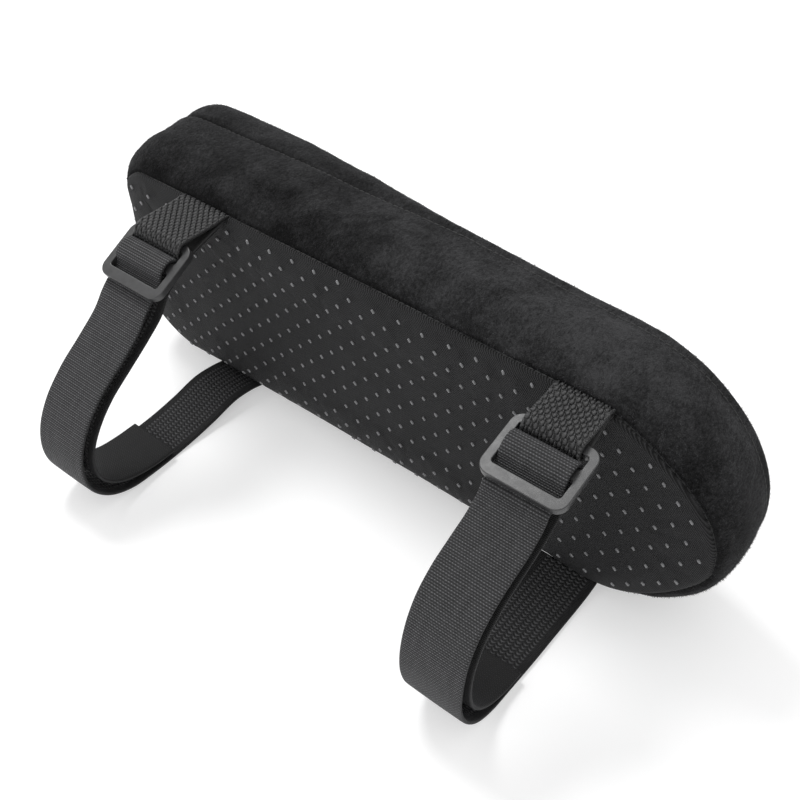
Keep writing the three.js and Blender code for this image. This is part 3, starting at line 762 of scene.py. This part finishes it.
# ---- nap of the plush ----
def nap(surfaces, number):
    """Short flat fibres spread evenly over the plush, most of them brushed one way."""
    draw = np.random.default_rng(11)
    corners = []
    for grid in surfaces:
        g = np.concatenate([grid, grid[:, :1]], axis=1)
        corners.append(np.stack([g[:-1, :-1], g[:-1, 1:], g[1:, 1:], g[1:, :-1]], 2).reshape(-1, 4, 3))
    quads = np.concatenate(corners)
    cross_way = np.cross(quads[:, 2] - quads[:, 0], quads[:, 3] - quads[:, 1])
    size = np.linalg.norm(cross_way, axis=1)
    middle = quads.mean(1)
    size = np.where(by_zip(middle, 2, 1) | (middle[:, 2] < 0.8), 0, size)
    pick = draw.choice(len(quads), number, p=size / size.sum())
    u, v = draw.random((2, number, 1))
    q = quads[pick]
    root = (q[:, 0] * (1 - u) + q[:, 1] * u) * (1 - v) + (q[:, 3] * (1 - u) + q[:, 2] * u) * v
    out = unit(cross_way[pick])
    out *= outward_of(out, root)[:, None]
    brush = np.array([0.35, 0.55, -0.75]) + 0.9 * draw.normal(size=(number, 3))
    brush -= out * (brush * out).sum(1, keepdims=True)
    brush = unit(brush)
    length = draw.uniform(0.7, 1.35, (number, 1))
    rise_part = draw.uniform(0.35, 0.75, (number, 1))
    tip_point = root + length * (brush * np.sqrt(1 - rise_part**2) + out * rise_part)
    side_way = np.cross(brush, out)
    half = draw.uniform(0.05, 0.1, (number, 1))
    points = np.stack([root - side_way * half - out * 0.1, root + side_way * half - out * 0.1, tip_point], 1)
    points[..., 2] = np.maximum(points[..., 2], 0.03)
    return points.reshape(-1, 3), np.arange(number * 3).reshape(-1, 3).tolist()


def outward_of(direction, root):
    """1 where a direction points away from the pad's middle line, and -1 elsewhere."""
    core = np.stack([np.clip(root[:, 0], -100, 85), np.full(len(root), 24.0), np.clip(root[:, 2], 45, 60)], 1)
    return np.where(((root - core) * direction).sum(1) > 0, 1.0, -1.0)


fibre_points, fibre_faces = nap([band_cover, top_cover], 60000)
fibres = piece("plush_nap", fibre_points, fibre_faces, PLUSH_FIBRE, smooth=False)
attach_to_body(fibres, "pad")


# ---- foam core ----
FOAM_DEPTH, FOAM_FLOOR = 3.3, 6.9
foam_points = stack - outward(stack) * FOAM_DEPTH
for _ in range(3):
    foam_points[1:-1] = (foam_points[:-2] + 2 * foam_points[1:-1] + foam_points[2:]) / 4
foam_points[..., 2] = np.maximum(foam_points[..., 2], FOAM_FLOOR)
foam = piece("foam_block", foam_points.reshape(-1, 3), closed_faces(len(stack)), FOAM)
attach(foam, "foam_core")


# ---- silicone dots on the underside ----
underside_tree = BVHTree.FromPolygons(
    [Vector(p) for p in under_cover.reshape(-1, 3)],
    wall_faces(0, len(under_cover), count * FINE) + lid_faces(0, count * FINE, NOSE_TIP * FINE, True),
)
DOT_STEPS = np.array([[5.7, 5.5], [5.7, -5.0]])
dot_points, dot_faces = [], []
edge_line = under_cover[-1]


def inside_panel(x, z):
    """Whether x, z is over the panel and a few mm clear of its seam."""
    e = edge_line[:, [0, 2]]
    ex, ez = e[:, 0], e[:, 1]
    fx, fz = np.roll(ex, -1), np.roll(ez, -1)
    crossing = ((ez > z) != (fz > z)) & (x < (fx - ex) * (z - ez) / np.where(fz == ez, 1e-9, fz - ez) + ex)
    return crossing.sum() % 2 == 1 and np.hypot(ex - x, ez - z).min() > (2.6 if z > 60 else 4.2)


for m in range(-60, 61):
    for n in range(-60, 61):
        x, z = m * DOT_STEPS[0] + n * DOT_STEPS[1] + np.array([1.2, 52.0])
        if not (-140 < x < 142 and 2 < z < 103) or not inside_panel(x, z):
            continue
        wobble = noise.noise(Vector((x * 0.7, z * 0.7, 4)))
        hit, normal, _, _ = underside_tree.ray_cast(Vector((x + 0.25 * wobble, -60, z)), Vector((0, 1, 0)))
        if hit is None:
            continue
        normal = -normal if normal.y > 0 else normal
        lie = Vector((0.72 + 0.12 * wobble, 0, -0.69))
        lie = (lie - normal * lie.dot(normal)).normalized()
        wide = normal.cross(lie)
        start = len(dot_points)
        long_half, wide_half, tall = 0.95 + 0.12 * wobble, 0.52, 0.55
        for scale, height in ((1.06, -0.25), (1.0, 0.22), (0.8, 0.75), (0.42, 0.98)):
            for step in range(12):
                a = 2 * math.pi * step / 12
                past = 1 if math.cos(a) > 0.01 else -1 if math.cos(a) < -0.01 else 0
                u = math.cos(a) * wide_half * scale + (long_half - wide_half) * past
                v = math.sin(a) * wide_half * scale
                dip = 1 + 0.25 * (abs(u) / long_half) ** 2
                dot_points.append(hit + lie * u + wide * v + normal * (tall * height * (dip if height > 0 else 1)))
        dot_points.append(hit + normal * tall * 0.95)
        dot_faces += wall_faces(start, 4, 12)
        top = start + 48
        for step in range(12):
            dot_faces.append([start + 36 + step, start + 36 + (step + 1) % 12, top])
dots = piece("silicone_dots", [list(p) for p in dot_points], dot_faces, SILICONE)
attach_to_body(dots, "pad")


# ---- seams ----
STITCH_RADIUS = 0.3


def stitches(name, line, node, pitch):
    """Short thread stitches laid end to end in a seam's groove."""
    closed = np.vstack([line, line[:1]])
    lengths = run_length(closed)
    total = int(lengths[-1] / pitch)
    points, faces = [], []
    for k in range(total):
        spots = (k + np.linspace(0.06, 0.94, 6)) * lengths[-1] / total
        path = np.stack([np.interp(spots, lengths, closed[:, a]) for a in range(3)], 1)
        arch = np.sin(np.linspace(0, math.pi, 6))
        tangent = unit(np.gradient(path, axis=0))
        u = unit(np.array([0, 1.0, 0]) - tangent * tangent[:, 1:2])
        v = np.cross(tangent, u)
        start = len(points)
        for p, uu, vv, rise_here in zip(path, u, v, arch):
            for side in range(6):
                a = math.pi / 3 * side
                size = STITCH_RADIUS * (0.55 + 0.45 * rise_here)
                points.append(p + size * (uu * math.cos(a) + vv * math.sin(a)))
        faces += wall_faces(start, 6, 6)
        faces.append([start + s for s in reversed(range(6))])
        faces.append([start + 30 + s for s in range(6)])
    attach(piece(name, points, faces, THREAD), node)


stitches("seam_thread_underside", under_cover[-1], "underside_seam", 2.6)
stitches("seam_thread_top", top_cover[0], "top_seam", 2.8)


# ---- straps ----
WEB_WIDTH, STRAP_THICK = 25.0, 1.5
TAB_FOLD_OUT = 4.4
BUCKLE_WIDTH, BUCKLE_LENGTH, BUCKLE_THICK, BUCKLE_CORNER = 32.4, 25.0, 3.0, 4.6
WINDOW_WIDTH = 25.9
SLOT_UPPER, SLOT_LOWER, FOLD_BAR = (-9.0, -3.5), (0.5, 8.0), -10.75
BUCKLE_SHIFT = 0.4
WRAP = [
    (12.8, -3.1), (9.6, -2.75), (6.4, -2.1), (4.4, -0.4), (2.9, 1.8), (0.9, 3.1), (-1.6, 3.6),
    (-3.9, 3.0), (-5.2, 1.4), (-5.35, -0.7), (-4.9, -2.8), (-3.4, -4.6),
]
STRAPS = {
    "left": dict(
        x=-104.3, bar=(-21.0, 93.2), slope=26, tab=(-104.1, 25.0),
        loop=[
            (-44.5, 77.2), (-50, 71.3), (-60, 63.6), (-71, 56), (-80, 47.3), (-86.3, 37), (-88.6, 26),
            (-86.5, 15.5), (-80, 7.2), (-70, 2.4), (-58, 1.15), (-40, 1.3), (-24, 3.4), (-10, 6.2),
            (0, 5.2), (7, 3.3),
        ],
        tail=[
            (-33, 79.5), (-38, 72.5), (-46, 66.3), (-57, 58.8), (-68, 51), (-76.5, 42), (-81.8, 32.5),
            (-83, 24), (-80.5, 16.2), (-74.5, 10), (-66, 6.3), (-56, 4.6), (-46, 4.2),
        ],
    ),
    "right": dict(
        x=70.7, bar=(-14.5, 91.2), slope=15, tab=(71.4, 22.4),
        loop=[
            (-38.8, 78.4), (-45.5, 73.4), (-54, 69.6), (-62.5, 65.4), (-70, 58.8), (-75.8, 49.5),
            (-79, 38), (-79.2, 26), (-76, 15), (-69.3, 6.4), (-60, 2), (-50, 1.1), (-30, 0.95),
            (-8, 1.05), (0.6, 1.8), (6, 3.1),
        ],
        tail=[
            (-25.5, 80), (-31.5, 74.3), (-40, 68.6), (-50, 64), (-59, 59.6), (-66.3, 53), (-71.3, 44.6),
            (-74, 35), (-73.8, 25), (-70.3, 15.8), (-63.5, 8.6), (-54.5, 4.9), (-44, 3.9),
        ],
    ),
}


def smooth_path(points, step):
    """Centripetal curve through points in Y and Z, with a point every step mm."""
    p = np.asarray(points, dtype=float)
    p = np.vstack([2 * p[0] - p[1], p, 2 * p[-1] - p[-2]])
    knots = np.concatenate([[0], np.cumsum(np.linalg.norm(np.diff(p, axis=0), axis=1) ** 0.5)])
    out = []
    for i in range(1, len(p) - 2):
        t0, t1, t2, t3 = knots[i - 1: i + 3]
        t = np.linspace(t1, t2, 24, endpoint=i == len(p) - 3)[:, None]

        def mix(a, b, low, high):
            return (high - t) / (high - low) * a + (t - low) / (high - low) * b

        a1, a2, a3 = mix(p[i - 1], p[i], t0, t1), mix(p[i], p[i + 1], t1, t2), mix(p[i + 1], p[i + 2], t2, t3)
        out.append(mix(mix(a1, a2, t0, t2), mix(a2, a3, t1, t3), t1, t2))
    line = np.vstack(out)
    reach = run_length(line)
    at = np.linspace(0, reach[-1], int(reach[-1] / step) + 1)
    return np.stack([np.interp(at, reach, line[:, a]) for a in range(2)], 1), at


def webbing(
    name, path, along, x0, thick, looks, zones, seed, wander, capped=(True, True), width=WEB_WIDTH, calm=0.0, sway=0.0,
):
    """A flat band along a path. zones gives the materials of its outer and inner face. It wanders
    sideways away from the distance calm, and sways once a little way before it."""
    tangent = unit(np.gradient(path, axis=0))
    normal = np.stack([-tangent[:, 1], tangent[:, 0]], 1)
    u = np.array([0, 0.12, 0.4, 0.9, 1.8, 3.2, 5.5, 8.5, 12.5, 16.5, 19.5, 21.8, 23.2, 24.1, 24.6, 24.88, 25.0])
    u = u * width / WEB_WIDTH
    from_edge = np.minimum(u, width - u)
    half = thick / 2 * (0.35 + 0.65 * np.sqrt(1 - (1 - np.minimum(from_edge / 0.75, 1)) ** 2))
    cup = 0.12 * (1 - (2 * u / width - 1) ** 2)
    face = [(a, h + c) for a, h, c in zip(u, half, cup)]
    face += [(a, -h + c) for a, h, c in zip(u[::-1], half[::-1], cup[::-1])]
    columns = len(face)
    points = np.empty((len(path), columns, 3))
    for row, (p, n, s) in enumerate(zip(path, normal, along)):
        free = wander * min(abs(s - calm) / 60, 1)
        drift = free * noise.noise(Vector((s / 34, seed, 0))) + sway * math.exp(-(((s - calm + 17) / 9) ** 2))
        lift = free * 0.5 * noise.noise(Vector((s / 22, seed, 7)))
        for column, (a, h) in enumerate(face):
            tilt = lift * (a - 12.5) / 12.5
            points[row, column] = (x0 + a + drift, *(p + n * (h + tilt)))
    faces, kinds, uvs = [], [], []
    across = [a for a, _ in face]
    outer, inner = zones
    for row in range(len(path) - 1):
        for column in range(columns):
            nxt = (column + 1) % columns
            a, b = row * columns + column, row * columns + nxt
            faces.append([a, a + columns, b + columns, b])
            kinds.append(outer if column < len(u) - 1 or column == columns - 1 else inner)
            here, there = across[column], across[nxt]
            uvs += [(here, along[row]), (here, along[row + 1]), (there, along[row + 1]), (there, along[row])]
    if capped[0]:
        faces.append(list(range(columns)))
        kinds.append(kinds[0])
        uvs += [(w, along[0]) for w in across]
    if capped[1]:
        start = (len(path) - 1) * columns
        faces.append([start + c for c in reversed(range(columns))])
        kinds.append(kinds[-1])
        uvs += [(w, along[-1]) for w in reversed(across)]
    return piece(name, points.reshape(-1, 3), faces, looks, kinds, uvs)


def yarn_bumps(name, path, along, x0, width, lift, look):
    """The tab's open mesh: fat yarn crossings in staggered rows, with a thin tight one beside each."""
    tangent = unit(np.gradient(path, axis=0))
    normal = np.stack([tangent[:, 1], -tangent[:, 0]], 1)
    points, faces = [], []

    def bead(u, v, long_half, wide_half, tall, turn):
        if not (wide_half + 0.1 < u < width - wide_half - 0.1 and along[0] < v < along[-1]):
            return
        p, t, n = (np.array([np.interp(v, along, row[:, a]) for a in (0, 1)]) for row in (path, tangent, normal))
        start = len(points)
        for spread, height in ((1.0, 0.0), (0.93, 0.45), (0.68, 0.85), (0.3, 1.0)):
            for step in range(10):
                a = 2 * math.pi * step / 10
                du, dv = wide_half * spread * math.sin(a), long_half * spread * math.cos(a)
                du, dv = du + dv * turn, dv - du * turn * 0.3
                points.append((x0 + u + du, *(p + t * dv + n * (lift - 0.12 + tall * height))))
        points.append((x0 + u, *(p + n * (lift - 0.12 + tall))))
        faces.extend(wall_faces(start, 4, 10))
        faces.extend([start + 30 + step, start + 30 + (step + 1) % 10, start + 40] for step in range(10))

    rows = int((along[-1] - along[0]) / 1.6)
    for row in range(rows + 1):
        for column in range(-1, int(width / 2.75) + 2):
            jitter = noise.noise(Vector((row * 1.7, column * 2.3, width)))
            u = 2.75 * column + 1.375 * (row % 2) + 1.1 + 0.2 * jitter
            v = along[0] + 1.6 * row + 0.3 + 0.2 * jitter
            bead(u, v, 1.3, 0.78, 0.62, 0.12)
            bead(u + 1.3, v + 0.35, 0.85, 0.36, 0.78, 0.25)
    for edge_u in (0.5, width - 0.5):
        for v in np.arange(along[0], along[-1], 1.05):
            bead(min(max(edge_u, 0.62), width - 0.62), v, 0.62, 0.5, 0.45, 0.0)
    return piece(name, points, faces, look)


def buckle_plate(name, centre, slope):
    """A flat three-bar slide with softly rounded edges."""
    curve = bpy.data.curves.new(name + "_outline", "CURVE")
    curve.dimensions = "2D"
    curve.fill_mode = "BOTH"
    edge = 0.32

    def rounded(w0, w1, l0, l1, r):
        corners = [
            ((w1 - r, l0 + r), -math.pi / 2), ((w1 - r, l1 - r), 0),
            ((w0 + r, l1 - r), math.pi / 2), ((w0 + r, l0 + r), math.pi),
        ]
        loop = []
        for (cx, cy), begin in corners:
            for step in range(9):
                a = begin + math.pi / 2 * step / 8
                loop.append((cx + r * math.cos(a), cy + r * math.sin(a)))
        spline = curve.splines.new("POLY")
        spline.points.add(len(loop) - 1)
        for point, (a, b) in zip(spline.points, loop):
            point.co = (a * MM, b * MM, 0, 1)
        spline.use_cyclic_u = True

    half_w, half_l = BUCKLE_WIDTH / 2, BUCKLE_LENGTH / 2
    rounded(-half_w + edge, half_w - edge, -half_l + edge, half_l - edge, BUCKLE_CORNER - edge)
    for low, high in (SLOT_UPPER, SLOT_LOWER):
        rounded(-WINDOW_WIDTH / 2 - edge, WINDOW_WIDTH / 2 + edge, low - edge, high + edge, 1.2 + edge)
    curve.extrude = (BUCKLE_THICK / 2 - edge) * MM
    curve.bevel_depth = edge * MM
    curve.bevel_resolution = 3
    drawn = bpy.data.objects.new(name + "_drawn", curve)
    scene.collection.objects.link(drawn)
    mesh = bpy.data.meshes.new_from_object(drawn.evaluated_get(bpy.context.evaluated_depsgraph_get()))
    bpy.data.objects.remove(drawn, do_unlink=True)
    along = Vector((0, -math.cos(slope), -math.sin(slope)))
    out = Vector((0, -math.sin(slope), math.cos(slope)))
    turn = Matrix((Vector((1, 0, 0)), along, out)).transposed().to_4x4()
    turn.translation = Vector(place(centre))
    mesh.transform(turn)
    if turn.determinant() < 0:
        mesh.flip_normals()
    mesh.name = name
    mesh.materials.clear()
    mesh.materials.append(PLASTIC)
    made = bpy.data.objects.new(name, mesh)
    scene.collection.objects.link(made)
    return made


for number, (side, s) in enumerate(STRAPS.items()):
    slope = math.radians(s["slope"])
    bar = np.array(s["bar"])
    along_dir = np.array([-math.cos(slope), -math.sin(slope)])
    out_dir = np.array([-math.sin(slope), math.cos(slope)])

    def at(l, n):
        return bar + along_dir * (l - FOLD_BAR) + out_dir * n

    path, along = smooth_path([*reversed(s["loop"]), *(at(l, n) for l, n in WRAP), *s["tail"]], 0.8)
    # the strap is drawn in three pieces: the wrap meets the loop and the tail below the buckle
    level_cut = at(19, 0)
    ahead = (path - level_cut) @ -along_dir
    near = np.flatnonzero((ahead > 0) & (path[:, 1] > 60))
    first, last = near[0], near[-1]
    looks = [STRAP_OUTER, STRAP_INNER, STRAP_TAIL_SHADED]
    calm, sway = along[(first + last) // 2], -0.9 if side == "left" else 0.0
    pieces = [
        webbing(
            f"strap_{side}_{name}", path[part], along[part], s["x"], STRAP_THICK, looks,
            zones, number * 10, 0.6, capped, calm=calm, sway=turned,
        )
        for name, part, zones, capped, turned in (
            ("loop", slice(first + 1), (0, 1), (True, False), sway),
            ("wrap", slice(first, last + 1), (0, 1), (False, False), sway),
            ("tail", slice(last, None), (2, 1), (False, True), 0.0),
        )
    ]
    loop, wrap, tail = pieces
    x_mid = s["x"] + 12.5
    for part in (loop, tail):
        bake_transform(part)
    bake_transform(wrap)
    for part in pieces:
        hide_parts(f"strap_{side}")

    # tab: doubled webbing from the seam, folded round the buckle's upper bar
    root = np.array([-0.4, 95.7])
    run = bar - root
    run = run / np.linalg.norm(run)
    cross = np.array([-run[1], run[0]])
    if cross[1] < 0:
        cross = -cross
    radius = TAB_FOLD_OUT - 0.95
    turns = np.linspace(math.pi / 2 + 0.12, -math.pi / 2 - 0.12, 11)
    fold = [bar + radius * (cross * math.sin(a) + run * math.cos(a)) for a in turns]
    upper = [(3.6, 94.9), (1.4, 95.9), root + cross * 0.6, root + run * 4 + cross * 0.9]
    lower = [root + run * 4 - cross * 1.2, root - cross * 0.85, (2.2, 93.9)]
    tab_path, tab_along = smooth_path([*upper, *fold, *lower], 0.5)
    tab_x, tab_width = s["tab"]
    tab = webbing(
        f"tab_{side}_webbing", tab_path, tab_along, tab_x + 0.1, 1.3, [BASKET_GROUND_SHADED, BASKET_GROUND_SHADED],
        (1, 0), number * 10 + 5, 0.1, width=tab_width - 0.2,
    )
    mesh_yarns = yarn_bumps(f"tab_{side}_yarns", tab_path, tab_along, tab_x, tab_width, 0.62, BASKET)
    for part in (mesh_yarns, tab):
        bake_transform(part)
        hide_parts(f"tab_{side}")

    plate = buckle_plate(f"buckle_{side}_slide", [x_mid + BUCKLE_SHIFT, *at(0, 0)], slope)
    attach(plate, f"buckle_{side}", f"buckle_{side}")


# ---- zip in the floor side ----
TAPE_ROWS = 121
TAPE_PROFILE = [
    (2.7, 4.3), (3.6, 4.3), (5.4, 2.2), (6.8, 0.9), (6.95, 1.2), (6.8, 1.8), (5.8, 2.9), (4.0, 5.1), (2.7, 5.1),
]
for sense, node in ((-1, "zip_tape_underside"), (1, "zip_tape_top")):
    stations = np.linspace(-ZIP_HALF + 0.4, ZIP_HALF - 0.4, TAPE_ROWS)
    points = [(x, ZIP_Y + sense * y, z) for x in stations for y, z in TAPE_PROFILE]
    n = len(TAPE_PROFILE)
    faces = wall_faces(0, TAPE_ROWS, n) + [list(range(n))[::-1], [(TAPE_ROWS - 1) * n + c for c in range(n)]]
    attach(piece(f"{node}_cloth", points, faces, TAPE, smooth=False), node)
coil_points, coil_faces = [], []
COIL_PITCH, WIRE = 1.25, 0.34
turn_count = int(2 * (ZIP_HALF - 3.6) / COIL_PITCH)
for sense in (-1, 1):
    start = len(coil_points)
    steps = turn_count * 10
    line = []
    for k in range(steps):
        a = 2 * math.pi * k / 10
        line.append((
            -ZIP_HALF + 3.6 + COIL_PITCH * (k / 10 + (0.5 if sense > 0 else 0)),
            ZIP_Y + sense * (1.0 + 1.25 * math.cos(a)),
            4.7 + 0.42 * math.sin(a),
        ))
    line = np.array(line)
    tangent = unit(np.gradient(line, axis=0))
    side_way = unit(np.cross(tangent, [1, 0, 0]))
    other_way = np.cross(tangent, side_way)
    for p, q, o in zip(line, side_way, other_way):
        for corner in range(6):
            a = math.pi / 3 * corner
            coil_points.append(p + WIRE * (q * math.cos(a) + o * math.sin(a)))
    coil_faces += wall_faces(start, steps, 6)
attach(piece("zip_coil", coil_points, coil_faces, NYLON), "zip_teeth")


# ---- CAD nodes that stay ----
def repaint(node, look):
    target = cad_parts[node]
    if not target.material_slots:
        target.data.materials.append(look)
    for material_slot in target.material_slots:
        material_slot.link = "OBJECT"
        material_slot.material = look


for node in ("zip_stop_closed", "zip_stop_open", "zip_slider", "zip_pull"):
    repaint(node, ENAMEL)


# ---- floor and light ----
floor_mesh = bpy.data.meshes.new("floor")
floor_mesh.from_pydata([(-9, -9, 0), (9, -9, 0), (9, 9, 0), (-9, 9, 0)], [], [[0, 1, 2, 3]])
floor_mesh.materials.append(FLOOR)
floor = bpy.data.objects.new("floor", floor_mesh)
scene.collection.objects.link(floor)


def soft_light(name, at, to, size, energy):
    data = bpy.data.lights.new(name, "AREA")
    data.shape = "DISK"
    data.size = size
    data.energy = energy
    made = bpy.data.objects.new(name, data)
    made.location = at
    made.rotation_euler = (Vector(to) - Vector(at)).to_track_quat("-Z", "Y").to_euler()
    scene.collection.objects.link(made)


soft_light("key", (-0.58, 0.2, 1.12), (0, 0, 0.05), 0.42, 8.0)
soft_light("fill", (-0.5, -1.2, 0.8), (-0.05, 0, 0.05), 0.9, 2.4)
world = bpy.data.worlds.new("studio")
world.use_nodes = True
world.node_tree.nodes["Background"].inputs["Color"].default_value = (1, 1, 1, 1)
world.node_tree.nodes["Background"].inputs["Strength"].default_value = 0.85
scene.world = world
scene.view_settings.view_transform = "Standard"
